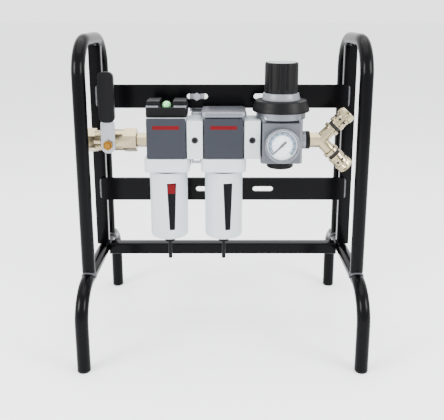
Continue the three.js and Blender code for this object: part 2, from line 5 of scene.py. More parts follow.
# %% Load the frame
import json
import math
import bmesh
import bpy
import numpy as np
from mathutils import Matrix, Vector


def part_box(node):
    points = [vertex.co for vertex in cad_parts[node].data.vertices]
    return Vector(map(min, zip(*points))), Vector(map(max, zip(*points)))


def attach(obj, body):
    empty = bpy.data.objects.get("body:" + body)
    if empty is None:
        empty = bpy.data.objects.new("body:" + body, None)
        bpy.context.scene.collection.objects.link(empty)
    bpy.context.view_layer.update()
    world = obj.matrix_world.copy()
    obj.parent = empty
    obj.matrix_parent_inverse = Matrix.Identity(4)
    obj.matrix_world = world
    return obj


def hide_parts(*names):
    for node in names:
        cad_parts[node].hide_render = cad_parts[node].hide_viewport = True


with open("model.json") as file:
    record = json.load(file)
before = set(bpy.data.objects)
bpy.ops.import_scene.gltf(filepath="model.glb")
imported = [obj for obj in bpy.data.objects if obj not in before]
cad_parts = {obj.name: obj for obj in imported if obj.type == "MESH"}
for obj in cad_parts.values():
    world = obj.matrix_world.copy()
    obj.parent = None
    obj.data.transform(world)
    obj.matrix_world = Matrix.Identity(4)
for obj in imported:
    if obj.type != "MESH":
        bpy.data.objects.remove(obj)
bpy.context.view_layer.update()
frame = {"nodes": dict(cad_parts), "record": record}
MM = 0.001
LINE_Y = -30 * MM
PORT_Z = 327 * MM

# %% [markdown]
# The stand is looked at from in front and a little above, with a slightly wide lens, so the rear
# legs show between the front ones. A small shift lets the tilt be less, so the uprights lean less.

# %% Camera
CAMERA_PLACE = (3.1 * MM, -933 * MM, 520 * MM)
CAMERA_TILT = math.radians(12.84)
camera_data = bpy.data.cameras.new("camera")
camera = bpy.data.objects.new("camera", camera_data)
bpy.context.scene.collection.objects.link(camera)
camera.location = CAMERA_PLACE
camera.rotation_euler = (math.pi / 2 - CAMERA_TILT, 0, 0)
camera_data.lens = 48.1
camera_data.shift_x = -0.006
camera_data.shift_y = -0.14
bpy.context.scene.camera = camera
print("camera at", CAMERA_PLACE)

# %% [markdown]
# Three helpers make every surface. A grid of points becomes a mesh, a profile is turned about an
# axis, and a block with soft corners and edges is a stack of rounded outlines. All the points are
# worked out at once as arrays.

# %% Surfaces from arrays
SHARP = math.radians(35)


def add_mesh(name, points, faces):
    """A closed mesh: doubles merged, normals outward, edges over 35 degrees kept crisp."""
    mesh = bpy.data.meshes.new(name)
    mesh.from_pydata(points.tolist(), [], faces.tolist())
    shell = bmesh.new()
    shell.from_mesh(mesh)
    bmesh.ops.remove_doubles(shell, verts=shell.verts, dist=1e-7)
    bmesh.ops.recalc_face_normals(shell, faces=shell.faces)
    shell.to_mesh(mesh)
    shell.free()
    mesh.polygons.foreach_set("use_smooth", np.ones(len(mesh.polygons), bool))
    mesh.set_sharp_from_angle(angle=SHARP)
    piece = bpy.data.objects.new(name, mesh)
    bpy.context.scene.collection.objects.link(piece)
    return piece


def grid_mesh(name, grid, wrap_u=True, wrap_v=False):
    """Quads between neighbours of a grid of points [v, u]; either way round may close on itself."""
    rows, columns = grid.shape[:2]
    index = np.arange(rows * columns).reshape(rows, columns)
    if wrap_u:
        index = np.concatenate([index, index[:, :1]], axis=1)
    if wrap_v:
        index = np.concatenate([index, index[:1]], axis=0)
    quads = np.stack([index[:-1, :-1], index[:-1, 1:], index[1:, 1:], index[1:, :-1]], axis=-1)
    return add_mesh(name, grid.reshape(-1, 3), quads.reshape(-1, 4))


def axes_for(direction):
    """Two unit vectors square to the direction and to each other."""
    along = np.array(direction, float) / np.linalg.norm(direction)
    helper = np.array([0.0, 1.0, 0.0]) if abs(along[1]) < 0.9 else np.array([1.0, 0.0, 0.0])
    across = np.cross(helper, along)
    across /= np.linalg.norm(across)
    return across, np.cross(along, across), along


def soften(profile, radius, steps=3):
    """Each inner corner of a profile becomes a short arc: a quadratic curve from one side to the other."""
    path = [np.array(profile[0], float)]
    for before, corner, after in zip(profile[:-2], profile[1:-1], profile[2:]):
        before, corner, after = (np.array(p, float) for p in (before, corner, after))
        reach = [min(radius, np.linalg.norm(p - corner) * 0.45) for p in (before, after)]
        start = corner + (before - corner) / np.linalg.norm(before - corner) * reach[0]
        end = corner + (after - corner) / np.linalg.norm(after - corner) * reach[1]
        for t in np.linspace(0, 1, steps + 1):
            path.append((1 - t) ** 2 * start + 2 * t * (1 - t) * corner + t * t * end)
    path.append(np.array(profile[-1], float))
    return np.array(path)


def turned(name, profile, origin, direction=(0, 0, 1), sides=72, edge=0.5, flutes=None, wrap=False):
    """Profile points (radius, distance), in mm, turned about an axis: origin + r (cos a, sin a) + d along.
    flutes is a function of angle and distance that gives the radius a factor."""
    path = soften(profile, edge) * MM
    across, up, along = axes_for(direction)
    angle = np.linspace(0, 2 * math.pi, sides, endpoint=False)
    radius = np.repeat(path[:, :1], sides, axis=1)
    if flutes is not None:
        radius = radius * flutes(angle[None, :], path[:, 1:] / MM)
    ring = radius[..., None] * (np.cos(angle)[:, None] * across + np.sin(angle)[:, None] * up)
    grid = np.array(origin) + ring + path[:, 1][:, None, None] * along
    return grid_mesh(name, grid, wrap_v=wrap)


def outline(width, depth, corner, steps=8):
    """A rectangle with round corners about the origin: four quarter circles joined by straight sides."""
    corner = min(corner, width / 2 - 1e-6, depth / 2 - 1e-6)
    angle = np.linspace(0, math.pi / 2, steps + 1)
    quarters = []
    for k, (sx, sy) in enumerate(((1, 1), (-1, 1), (-1, -1), (1, -1))):
        a = angle + k * math.pi / 2
        centre = np.array([sx * (width / 2 - corner), sy * (depth / 2 - corner)])
        quarters.append(centre + corner * np.stack([np.cos(a), np.sin(a)], axis=-1))
    return np.concatenate(quarters)


def soft_block(name, low, high, corner=3.0, edge=1.0, axis=2):
    """A block between two corners in metres, round along one axis by corner and at both ends by edge
    (mm). It is a stack of outlines: drawn in by edge (1 - sin a) at height edge (1 - cos a) near each
    end, and closed by a row drawn in to its middle."""
    low, high = np.array(low, float) / MM, np.array(high, float) / MM
    u, v = [i for i in range(3) if i != axis]
    size = high - low
    base = (high + low) / 2
    base[axis] = low[axis]
    a = np.linspace(0, math.pi / 2, 5)
    inset = np.concatenate([edge * (1 - np.sin(a)), edge * (1 - np.cos(a))])
    height = np.concatenate([edge * (1 - np.cos(a)), size[axis] - edge * (1 - np.sin(a))])
    rows = []
    for pull, rise in zip(inset, height):
        flat = outline(size[u] - 2 * pull, size[v] - 2 * pull, max(corner - pull, 0.2))
        row = np.zeros((len(flat), 3))
        row[:, u], row[:, v], row[:, axis] = flat[:, 0], flat[:, 1], rise
        rows.append(row + base)
    first, last = (np.repeat(row.mean(axis=0)[None], len(row), axis=0) for row in (rows[0], rows[-1]))
    return grid_mesh(name, np.array([first, *rows, last]) * MM)


print("surface helpers ready")

# %% [markdown]
# Finishes come next, one for each real material. A small function adds a node, and each finish is
# a Principled shader whose roughness and relief come from noise sized in millimetres.

# %% Finish helpers
def linear(hex_colour):
    """sRGB hex to linear RGBA."""
    values = [int(hex_colour[i:i + 2], 16) / 255 for i in (1, 3, 5)]
    return tuple(v / 12.92 if v <= 0.04045 else ((v + 0.055) / 1.055) ** 2.4 for v in values) + (1.0,)


def add_node(tree, kind, links=None, **settings):
    """A node with its settings; names that aren't properties are sockets; links maps socket to output."""
    node = tree.nodes.new(kind)
    for name, value in settings.items():
        socket = name.replace("_", " ").capitalize() if name[0].islower() else name.replace("_", " ")
        if hasattr(node, name):
            setattr(node, name, value)
        else:
            node.inputs[socket].default_value = value
    for name, output in (links or {}).items():
        tree.links.new(output, node.inputs[name])
    return node


def new_material(name):
    """An empty node material with its output and Object coordinates."""
    material = bpy.data.materials.new(name)
    material.use_nodes = True
    material.node_tree.nodes.clear()
    tree = material.node_tree
    output = add_node(tree, "ShaderNodeOutputMaterial")
    place = add_node(tree, "ShaderNodeTexCoord").outputs["Object"]
    return material, tree, output, place


def speckled(name, colour, second, grain_mm, rough, relief=0.05, metallic=0.0, stretch=(1, 1, 1), **shader):
    """A Principled finish: noise of one grain size mixes two close colours, moves the roughness
    between its two limits and lifts the surface by relief."""
    material, tree, output, place = new_material(name)
    mapping = add_node(tree, "ShaderNodeMapping", {"Vector": place}, Scale=stretch)
    grain = add_node(tree, "ShaderNodeTexNoise", {"Vector": mapping.outputs[0]},
                     Scale=1 / (grain_mm * MM), Detail=3.0)
    broad = add_node(tree, "ShaderNodeTexNoise", {"Vector": place}, Scale=1 / (40 * MM), Detail=2.0)
    both = add_node(tree, "ShaderNodeMath", {0: grain.outputs["Fac"], 1: broad.outputs["Fac"]},
                    operation="MULTIPLY_ADD")
    both.inputs[2].default_value = 0.2
    tint = add_node(tree, "ShaderNodeMix", {"Factor": both.outputs[0]}, data_type="RGBA")
    tint.inputs[6].default_value = linear(colour)
    tint.inputs[7].default_value = linear(second)
    gloss = add_node(tree, "ShaderNodeMapRange", {"Value": both.outputs[0]}, To_Min=rough[0], To_Max=rough[1])
    bump = add_node(tree, "ShaderNodeBump", {"Height": grain.outputs["Fac"]}, Strength=relief,
                    Distance=0.3 * MM)
    surface = add_node(tree, "ShaderNodeBsdfPrincipled", {"Base Color": tint.outputs[2],
                       "Roughness": gloss.outputs[0], "Normal": bump.outputs[0]}, Metallic=metallic, **shader)
    tree.links.new(surface.outputs[0], output.inputs[0])
    return material


# %% [markdown]
# Stand: stoved black enamel, glossy and a little wavy like all sprayed tube. Covers: moulded ABS.
# Fittings: nickel plate on brass has a warm cast. Castings: bead-blasted aluminium. The studio is
# bright, so the base colours are deeper and the dark finishes less shiny than the bare materials.

# %% The finishes
finishes = {
    # sprayed enamel: a glossy black skin with slow orange-peel waves
    "black_paint": speckled("stoved_black_enamel", "#020203", "#050506", 2.5, (0.15, 0.26), 0.05,
                            Specular_IOR_Level=0.07),
    # glass-filled nylon: near black, fine spark-eroded texture
    "black_plastic": speckled("black_nylon", "#020203", "#050506", 0.8, (0.38, 0.52), 0.12,
                              Specular_IOR_Level=0.12),
    # moulded ABS in slate grey, satin with a fine texture
    "grey_cover": speckled("slate_abs", "#1c1e25", "#24272e", 0.9, (0.45, 0.58), 0.08,
                           Specular_IOR_Level=0.2),
    # powder coat on die-cast zinc: pale, satin, slight orange peel
    "light_grey_paint": speckled("pale_powder_coat", "#a6aeb2", "#b4bbbe", 1.4, (0.34, 0.48), 0.08),
    # bead-blasted die-cast aluminium
    "die_cast": speckled("blasted_aluminium", "#5f6268", "#7b7e84", 0.7, (0.28, 0.45), 0.12, 0.85),
    # bright nickel plate over turned brass: a warm, pale mirror with fine turning lines
    "nickel": speckled("nickel_plate", "#928668", "#b5a98a", 0.6, (0.16, 0.32), 0.05, 1.0, (1, 1, 3)),
    # turned brass hexagon, left unplated
    "brass": speckled("turned_brass", "#76501b", "#936b2e", 0.5, (0.2, 0.34), 0.06, 1.0),
    # bright zinc plate on pressed steel
    "zinc_steel": speckled("zinc_plate", "#8b8e93", "#a6a8ad", 0.9, (0.25, 0.42), 0.08, 0.95),
    # clear-tinted acrylic dome, polished
    "green_plastic": speckled("green_acrylic", "#5fb56c", "#8ad494", 1.5, (0.1, 0.2), 0.02,
                              Coat_Weight=0.5, Coat_Roughness=0.05),
    # near-black pane under a weak gloss: painted shade for the unlit inside of the bowl seen through the
    # window
    "dark_window": speckled("sight_pane_painted_shade", "#020204", "#050508", 6.0, (0.08, 0.16), 0.02,
                            Specular_IOR_Level=0.08),
    # stoved white enamel on a pressed aluminium dial
    "white_dial": speckled("white_enamel_dial", "#cdd3d8", "#d6dbdf", 2.0, (0.45, 0.55), 0.02),
    # moulded nitrile, matt black
    "rubber": speckled("moulded_nitrile", "#050506", "#0a0a0b", 0.8, (0.7, 0.85), 0.1),
    # opaque red pad-printing ink
    "red_print": speckled("red_print", "#4b0206", "#5a050b", 1.2, (0.35, 0.5), 0.04,
                          Specular_IOR_Level=0.1),
    # painted polyamide front of the regulator: mid grey, satin
    "mid_grey": speckled("grey_polyamide", "#45484e", "#53565c", 0.9, (0.35, 0.5), 0.08,
                         Specular_IOR_Level=0.3),
    # the bead, enamelled black like the stand, in a lighter grey: painted highlight for the light its ripples
    # catch
    "weld_grey": speckled("weld_bead_painted_highlight", "#232327", "#3a3a40", 1.6, (0.25, 0.45), 0.3),
    # moulded acetal, mid grey
    "lock_grey": speckled("lock_ring_acetal", "#5a5d63", "#6b6e74", 1.0, (0.3, 0.45), 0.06),
    # blue-grey ink printed on the dial
    "scale_band": speckled("dial_scale_tint", "#58748d", "#66809a", 1.5, (0.5, 0.6), 0.02),
    # moulded acetal insert, a lighter grey
    "pale_disc": speckled("pale_acetal", "#84888c", "#96999c", 1.2, (0.3, 0.45), 0.04),
}


def clear_lens():
    """Moulded polycarbonate: nearly all light goes through, with a weak gloss on top."""
    material, tree, output, _ = new_material("clear_polycarbonate")
    shine = add_node(tree, "ShaderNodeBsdfPrincipled", Roughness=0.05, IOR=1.45, Alpha=0.04,
                     Base_Color=(0.95, 0.97, 0.98, 1.0))
    tree.links.new(shine.outputs[0], output.inputs[0])
    return material


finishes["clear_lens"] = clear_lens()
print(len(finishes), "finishes")

slots = {part["node"]: part["material_slot"] for part in frame["record"]["subparts"]}
for name, node in frame["nodes"].items():
    node.data.materials.clear()
    node.data.materials.append(finishes[slots[name]])


def body_of(node):
    """The name of the body that a CAD node belongs to."""
    return next(body for body, nodes in frame["record"]["behaviour"]["bodies"].items() if node in nodes)


def fit(piece, node, hide=True, finish=None):
    """A piece rides with a node's body and takes its finish; it stands for the node when it hides it."""
    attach(piece, body_of(node))
    piece.data.materials.append(finishes[finish or slots[node]])
    if hide:
        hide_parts(node)
    return piece


# %% [markdown]
# A flat pale floor reaches far back under an even pale world. Three large soft lights give the long
# highlights that show a glossy tube is round.

# %% Studio
def plain_paper():
    """Matt white paper, with no pattern."""
    material, tree, output, _ = new_material("white_paper")
    paper = add_node(tree, "ShaderNodeBsdfPrincipled", Roughness=0.7, Base_Color=linear("#f4f5f6"))
    tree.links.new(paper.outputs[0], output.inputs[0])
    return material


FLOOR_REACH = 30.0
corners = np.array([[-1, -1, 0], [1, -1, 0], [1, 1, 0], [-1, 1, 0]], float) * FLOOR_REACH
floor_mesh = bpy.data.meshes.new("floor")
floor_mesh.from_pydata(corners.tolist(), [], [[0, 1, 2, 3]])
floor = bpy.data.objects.new("floor", floor_mesh)
floor.data.materials.append(plain_paper())
bpy.context.scene.collection.objects.link(floor)

world = bpy.data.worlds.new("studio")
world.use_nodes = True
backdrop = world.node_tree.nodes["Background"]
backdrop.inputs["Color"].default_value = linear("#fbfbfd")
backdrop.inputs["Strength"].default_value = 2.6
bpy.context.scene.world = world


def soft_light(name, place, aim, size, power):
    """A square area light that faces the aim point."""
    data = bpy.data.lights.new(name, "AREA")
    data.size = size
    data.energy = power
    light = bpy.data.objects.new(name, data)
    bpy.context.scene.collection.objects.link(light)
    light.location = place
    direction = np.array(aim) - np.array(place)
    flat = math.hypot(direction[0], direction[1])
    light.rotation_euler = (math.atan2(flat, -direction[2]), 0, math.atan2(-direction[0], direction[1]))


MIDDLE = (0, 0, 0.25)
soft_light("left_box", (-1.3, -1.0, 0.9), MIDDLE, 0.7, 40)
soft_light("right_box", (1.3, -0.9, 0.9), MIDDLE, 0.7, 36)
soft_light("top_box", (0, 0.1, 1.8), MIDDLE, 1.6, 30)
print("studio made")

# %% [markdown]
# The stand is cold-bent 20 mm tube. Each frame is one tube carried round two bends, so its skin is
# a circle swept along straight runs and arcs, with many small steps so that highlights run smoothly.

# %% Bent tubes
TUBE_R = 10 * MM
BEND_R = 50 * MM
SIDES = (("left", -206 * MM), ("right", 206 * MM))
UPPER_REACH = 85 * MM
LEG_REACH = 145 * MM


def bent_path(corners, radius, steps=20):
    """Points of a path in a plane: straight runs, and at each corner the arc
    start + radius (sin a) into + radius (1 - cos a) out."""
    corners = [np.array(corner, float) for corner in corners]
    path = [corners[0]]
    for before, corner, after in zip(corners[:-2], corners[1:-1], corners[2:]):
        into = (corner - before) / np.linalg.norm(corner - before)
        out = (after - corner) / np.linalg.norm(after - corner)
        a = np.linspace(0, math.pi / 2, steps + 1)[:, None]
        path.extend(corner - radius * into + radius * (np.sin(a) * into + (1 - np.cos(a)) * out))
    path.append(corners[-1])
    return np.array(path)


def swept_tube(name, x, path, radius, sides=40):
    """A circle carried along a path of (y, z) in the plane of constant x: centre + r (cos a X + sin a N)."""
    heading = np.gradient(path, axis=0)
    heading /= np.linalg.norm(heading, axis=1, keepdims=True)
    normal = np.stack([-heading[:, 1], heading[:, 0]], axis=1)
    a = np.linspace(0, 2 * math.pi, sides, endpoint=False)
    grid = np.zeros((len(path), sides, 3))
    grid[..., 0] = x + radius * np.cos(a)
    grid[..., 1:] = path[:, None, :] + radius * np.sin(a)[None, :, None] * normal[:, None, :]
    ends = [np.repeat(grid[k].mean(axis=0)[None, None], sides, axis=1) for k in (0, -1)]
    return grid_mesh(name, np.concatenate([ends[0], grid, ends[1]]))


for side, x in SIDES:
    for part, reach in (("upper_frame", UPPER_REACH), ("leg_frame", LEG_REACH)):
        node = f"{part}_{side}"
        low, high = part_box(node)
        turn_z = high.z - TUBE_R
        foot = low.z
        route = bent_path([(-reach, foot), (-reach, turn_z), (reach, turn_z), (reach, foot)], BEND_R)
        fit(swept_tube(f"{node}_tube", x, route, TUBE_R), node)
    for end in ("front", "rear"):
        node = f"foot_cap_{end}_{side}"
        low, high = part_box(node)
        spot = ((low.x + high.x) / 2, (low.y + high.y) / 2, 0)
        shoe = [(0, 0), (8.6, 0), (9.98, 1.6), (9.98, 4.5), (7.6, 4.6), (7.6, 17.9), (0, 18)]
        fit(turned(f"{node}_shoe", shoe, spot, edge=0.7), node)
    node = f"side_bar_{side}"
    fit(soft_block(f"{node}_flat", *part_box(node), corner=1.6, edge=0.4), node)
fit(soft_block("cross_tube_square", *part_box("cross_tube"), corner=2.2, edge=0.3, axis=0), "cross_tube")
print("stand tubes made")

# %% [markdown]
# The rails are flat bar with punched round-ended slots. The CAD solids already have the slots, so a
# merged copy of each gets a small bevel, which catches the light along every edge.


# %% Bevelled copies of CAD solids
def eased_copy(node, name, width=0.5, angle=30, segments=3):
    """A merged copy of a CAD node with its edges eased by a bevel of so many millimetres."""
    mesh = frame["nodes"][node].data.copy()
    mesh.materials.clear()
    shell = bmesh.new()
    shell.from_mesh(mesh)
    bmesh.ops.remove_doubles(shell, verts=shell.verts, dist=1e-6)
    bmesh.ops.dissolve_limit(shell, angle_limit=math.radians(1), verts=shell.verts, edges=shell.edges)
    shell.to_mesh(mesh)
    shell.free()
    mesh.polygons.foreach_set("use_smooth", np.ones(len(mesh.polygons), bool))
    mesh.set_sharp_from_angle(angle=SHARP)
    piece = bpy.data.objects.new(name, mesh)
    bpy.context.scene.collection.objects.link(piece)
    bevel = piece.modifiers.new("eased", "BEVEL")
    bevel.width = width * MM
    bevel.segments = segments
    bevel.limit_method = "ANGLE"
    bevel.angle_limit = math.radians(angle)
    return fit(piece, node)


eased_copy("top_rail", "top_rail_flat", 0.5)
eased_copy("low_rail", "low_rail_flat", 0.5)
eased_copy("support_bracket", "support_bracket_plate", 0.5)
eased_copy("bracket_bolt", "bracket_bolt_steel", 0.3)
print("rails and bracket made")

# %% [markdown]
# Every joint of the stand is welded. A bead is a low ripple of metal round the joint, so it is a
# thin ring whose section swells and shrinks a little as it goes round.


# %% Weld beads
WELD_Z = 132.4 * MM            # where the upper frame stands on the leg frame


# Beads take the lighter grey weld finish: painted highlight for the light caught on the ripples of the black
# enamelled bead.
def weld_ring(name, x, y, z, radius, body_node, bead=1.9, ripples=46):
    """A ring in the horizontal plane: section radius b (1 + 0.16 sin n a), riding at the tube's foot."""
    a = np.linspace(0, 2 * math.pi, 184, endpoint=False)
    s = np.linspace(0, 2 * math.pi, 10, endpoint=False)
    section = bead * MM * (1 + 0.16 * np.sin(ripples * a))[:, None]
    out = radius + section * np.cos(s)[None, :]
    saddle = -TUBE_R + np.sqrt(np.maximum(TUBE_R ** 2 - (out * np.cos(a)[:, None] * 0.93) ** 2, 0))
    grid = np.stack([x + out * np.cos(a)[:, None], y + out * np.sin(a)[:, None],
                     z + saddle + section * np.sin(s)[None, :]], axis=-1)
    return fit(grid_mesh(name, grid, wrap_v=True), body_node, hide=False, finish="weld_grey")


def weld_line(name, start, end, body_node, bead=2.9):
    """A straight bead: a tube with rippled radius, closed at both ends by drawing the radius in."""
    start, end = np.array(start, float), np.array(end, float)
    across, up, along = axes_for(end - start)
    t = np.linspace(0, 1, 60)
    taper = np.sqrt(np.clip(1 - (2 * t - 1) ** 8, 0, 1))
    radius = bead * MM * taper * (1 + 0.14 * np.sin(70 * t))
    a = np.linspace(0, 2 * math.pi, 12, endpoint=False)
    ring = np.cos(a)[:, None] * across + np.sin(a)[:, None] * up
    grid = start + t[:, None, None] * (end - start) + radius[:, None, None] * ring
    return fit(grid_mesh(name, grid), body_node, hide=False, finish="weld_grey")


for side, x in SIDES:
    inward = 1 if x < 0 else -1
    for end, y in (("front", -UPPER_REACH), ("rear", UPPER_REACH)):
        weld_ring(f"weld_{end}_{side}", x, y, WELD_Z, TUBE_R - 0.3 * MM, f"upper_frame_{side}")
    for rail in ("top_rail", "low_rail"):
        low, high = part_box(rail)
        edge_x = low.x if x < 0 else high.x
        weld_line(f"weld_{rail}_{side}", (edge_x - inward * 0.8 * MM, high.y - 1.4 * MM, low.z + 2 * MM),
                  (edge_x - inward * 0.8 * MM, high.y - 1.4 * MM, high.z - 2 * MM), rail)
    low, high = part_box("cross_tube")
    end_x = low.x if x < 0 else high.x
    for place, z in (("top", high.z), ("foot", low.z)):
        weld_line(f"weld_cross_{place}_{side}", (end_x + inward * 0.8 * MM, low.y + 2 * MM, z),
                  (end_x + inward * 0.8 * MM, high.y - 2 * MM, z), "cross_tube", 1.6)
print("welds made")

# %% [markdown]
# Each filter is a cast head with a wide collar, a moulded cover over its front, a bowl guard with a
# tapered sight window, and a drain underneath. The window is cut through the bowl's wall in the CAD
# solid, so the bowl and the pane are bevelled copies, and the rest is worked out here.

# %% Filters
FILTERS = ("1", "2")


def filter_collar(number):
    """The square collar and head in pale powder coat: two soft blocks, the wider one below."""
    low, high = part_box(f"filter_head_{number}")
    collar_top = 304.2 * MM
    head = soft_block(f"filter_{number}_casting", (low.x + 4.6 * MM, low.y + 7.2 * MM, collar_top - 2 * MM),
                      (high.x - 4.6 * MM, high.y - 0.1 * MM, high.z), corner=4, edge=1.2)
    fit(head, f"filter_head_{number}", hide=False)
    ring = soft_block(f"filter_{number}_collar", (low.x, low.y, low.z), (high.x, high.y, collar_top),
                      corner=10, edge=1.8)
    return fit(ring, f"filter_head_{number}")


def bowl_guard(number):
    """A bevelled copy of the CAD cup, which has the window's opening in it."""
    return eased_copy(f"bowl_{number}", f"bowl_{number}_guard", 0.35, angle=40)


def cover(name, node, finish=None):
    """A moulded cover: a soft block as large as the CAD shell."""
    return fit(soft_block(name, *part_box(node), corner=2.6, edge=1.4), node, finish=finish)


def front_bar(name, x, y, z, width, height, node):
    """A plain raised bar in red where a maker would put a name."""
    low = (x - width / 2, y - 0.25 * MM, z - height / 2)
    high = (x + width / 2, y + 0.6 * MM, z + height / 2)
    bar = soft_block(name, low, high, corner=1.2, edge=0.12, axis=1)
    return fit(bar, node, hide=False, finish="red_print")


def neck_shade_ring(number, x):
    """A black ring just under the collar, a thin turned ring in the rubber finish: painted shade for the
    shadow gap between the collar and the bowl.
    """
    profile = [(27.5, 0), (30.6, 0), (30.6, 2.2), (27.5, 2.2), (27.5, 0)]
    ring = turned(f"bowl_{number}_shade_ring", profile, (x, LINE_Y, 280.4 * MM), edge=0.4, wrap=True)
    return fit(ring, f"filter_head_{number}", hide=False, finish="rubber")


def drain_tap(number, x):
    """Black acetal drain: a knurled body under the bowl and a thin outlet stem."""
    low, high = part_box(f"drain_{number}")
    tip = low.z / MM

    def knurl(angle, distance):
        shell = (distance > tip + 29) & (distance < tip + 40)
        return 1 - 0.05 * shell * (np.cos(16 * angle) > 0.2)

    profile = [(0, tip), (2.5, tip), (3.1, tip + 1), (3.1, tip + 27), (6, tip + 28.7), (8, tip + 30),
               (8, tip + 39.5), (7, tip + 40.7), (4.7, tip + 40.7), (4.7, tip + 44.3), (9, tip + 44.3),
               (9, tip + 47.2), (0, tip + 47.2)]
    return fit(turned(f"drain_{number}_tap", profile, (x, LINE_Y, 0), sides=96, flutes=knurl, edge=0.4),
               f"drain_{number}")


def window_pane(number):
    """The near-black pane in the bowl's opening: painted shade for the unlit inside of the bowl."""
    return eased_copy(f"sight_window_{number}", f"sight_window_{number}_pane", 0.3, angle=50)


for number in FILTERS:
    low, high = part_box(f"bowl_{number}")
    x = (low.x + high.x) / 2
    filter_collar(number)
    bowl_guard(number)
    neck_shade_ring(number, x)
    drain_tap(number, x)
    window_pane(number)
    node = f"filter_cover_{number}"
    low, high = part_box(node)
    cover(f"filter_{number}_cover", node)
    front_bar(f"filter_{number}_bar", x, low.y, high.z - 13.5 * MM, 40 * MM, 5.6 * MM, node)

# The first bowl has a red float at the top of its window
low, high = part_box("sight_window_1")
pane_front = low.y
fit(soft_block("float_1", (low.x + 0.9 * MM, pane_front - 0.05 * MM, high.z - 16 * MM),
               (high.x - 0.9 * MM, pane_front + 2.2 * MM, high.z - 0.8 * MM), corner=0.8, edge=0.3, axis=1),
    "sight_window_1", hide=False, finish="red_print")

low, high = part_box("top_cap")
fit(soft_block("top_cap_cover", low, high, corner=8, edge=3), "top_cap")
print("filters made")

# %% [markdown]
# The first filter carries a pressure drop indicator: a black block with a trough across the middle, a green
# dome that lifts when the element clogs, and two pale strips in the cast-metal finish either side of the
# dome, which are painted highlight for the gloss along the block's rounded front edge.

# %% Indicator
low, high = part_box("indicator_body")
centre_x = (low.x + high.x) / 2
eased_copy("indicator_body", "indicator_block", 0.8)
for side, sign in (("left", -1), ("right", 1)):
    start = centre_x + sign * 11.5 * MM
    end = centre_x + sign * 30.3 * MM
    # Pale metal strips either side of the dome: painted highlight for the light along the glossy black
    # block's rounded front edge.
    bar = soft_block(f"indicator_highlight_strip_{side}", (min(start, end), low.y + 1.5 * MM, high.z - 11.2 * MM),
                     (max(start, end), low.y + 12 * MM, high.z - 6.4 * MM), corner=1, edge=0.6, axis=0)
    fit(bar, "indicator_body", hide=False, finish="die_cast")
low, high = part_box("indicator_dome")
dome_r = (high.x - low.x) / 2 / MM
tall = (high.z - low.z) / MM
a = np.linspace(0, math.pi / 2, 12)
curve = [(0, 0), (dome_r, 0)] + [(dome_r * math.cos(t), tall - dome_r * (1 - math.sin(t))) for t in a]
fit(turned("indicator_dome_cap", curve, ((low.x + high.x) / 2, (low.y + high.y) / 2, low.z), edge=0.2),
    "indicator_dome")
print("indicator made")

# %% [markdown]
# Joiners clamp the modules together. Each has one socket screw, whose hole reads as a black spot.

# %% Joiners
for number in ("1", "2"):
    node = f"joiner_{number}"
    low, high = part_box(node)
    eased_copy(node, f"{node}_block", 0.9)
    spot = ((low.x + high.x) / 2, low.y + 0.6 * MM, PORT_Z + 6 * MM)
    profile = [(0, 4.2), (2.6, 4), (2.6, 0.5), (3.2, 0), (4.6, 0), (5, 0.5), (5, 7.5), (0, 7.5)]
    fit(turned(f"{node}_screw", profile, spot, direction=(0, 1, 0), sides=48, edge=0.2), node, hide=False,
        finish="rubber")
print("joiners made")

# %% [markdown]
# The regulator is an aluminium body with a round flange, a mid-grey front cover with the gauge through
# it, a flared black bonnet, a lock ring and a fluted knob with a pale disc let into its top.

# %% Regulator
REG_X = 89.5 * MM
AXIS = (REG_X, LINE_Y, 0)
eased_copy("regulator_body", "regulator_casting", 0.7, angle=40)
cover("regulator_face", "regulator_cover", finish="mid_grey")
bell = [(25, 373.3), (43.4, 373.3), (44, 374.2), (43, 379), (41.2, 383.5), (39.5, 389.2), (38.6, 390)]
bell += [(5.3, 390), (5.3, 384), (22, 384), (25, 373.3)]
fit(turned("bonnet_bell", bell, AXIS, edge=0.7, wrap=True), "bonnet")
collar = [(12, 390.3), (29.3, 390.3), (29.3, 393.2), (28.4, 395), (27.2, 400.6), (26.4, 401.2)]
collar += [(12, 401.2), (12, 390.3)]
fit(turned("lock_ring_collar", collar, AXIS, edge=0.5, wrap=True), "lock_ring", finish="lock_grey")


def grip_flutes(angle, distance):
    """Twelve narrow grooves round the knob, fading out near both rims."""
    inside = np.clip((distance - 404) / 2, 0, 1) * (distance > 402)
    groove = np.exp(-((np.mod(angle * 12 / (2 * math.pi), 1) - 0.5) / 0.1) ** 2)
    return 1 - 0.055 * inside * groove * (distance < 446.2)


low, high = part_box("knob")
top = high.z / MM
rows = [(0, top - 3.5), (22.4, top - 3.5), (22.4, top - 45.5), (25.5, top - 45.5)]
rows += [(25.55 - 0.35 * t, top - 45.2 + 43.5 * t) for t in np.linspace(0, 1, 14)]
rows += [(24.2, top), (22.2, top), (22.0, top - 1.2), (0, top - 1.2)]
fit(turned("knob_cup", rows, AXIS, sides=288, flutes=grip_flutes, edge=0.4), "knob")
disc = [(0, top - 1.1), (21.8, top - 1.1), (21.8, top - 0.5), (20.5, top - 0.05), (0, top - 0.02)]
fit(turned("knob_disc", disc, AXIS, edge=0.3), "knob", hide=False, finish="pale_disc")
plug = [(0, 284), (19, 284), (21, 286), (21, 295.6), (15.5, 295.7), (15.5, 303.8), (0, 304)]
fit(turned("bottom_plug_cap", plug, AXIS, sides=96, edge=0.8), "bottom_plug")
print("regulator made")

# %% [markdown]
# The gauge: a steel bezel with a rounded lip, a white dial with printed marks, a black needle on a
# hub, and a clear lens. Marks are thin raised strips set out by angle, long ones every tenth.

